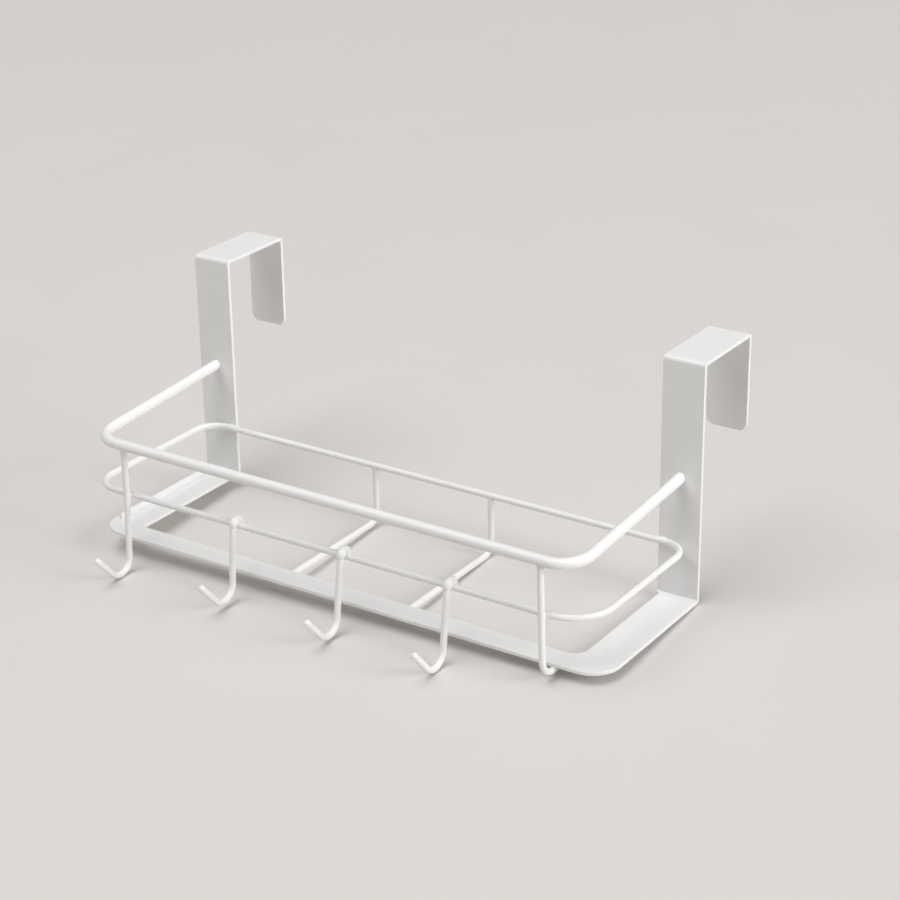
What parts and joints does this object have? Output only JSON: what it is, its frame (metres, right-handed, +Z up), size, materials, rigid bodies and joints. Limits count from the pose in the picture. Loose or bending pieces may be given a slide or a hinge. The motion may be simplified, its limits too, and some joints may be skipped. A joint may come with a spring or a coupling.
{
  "type": "over-door bag holder",
  "caption": "Folded steel bracket that hooks over a door, with a rod rail, a wire basket ring and small forward hooks for hanging bags.",
  "frame": {"origin": "middle of the door's top edge: midway between the hooks, in the middle of the gap for the door, at the underside of the hooks' top straps", "axes": "+X along the door, to the right as seen from the room; +Y from the room into the door; +Z up"},
  "size_m": [0.275, 0.1598, 0.1239],
  "materials": {
    "sheet": "white satin powder coat",
    "wire": "white satin powder coat"
  },
  "bodies": {
    "root": {"door_frame": "sheet", "top_rail": "wire", "middle_rail": "wire", "left_end_hook": "wire", "front_hook_left": "wire", "front_hook_middle": "wire", "front_hook_right": "wire", "right_end_post": "wire", "floor_wire_left": "wire", "floor_wire_right": "wire", "left_arm_wire": "wire"}
  },
  "joints": []
}
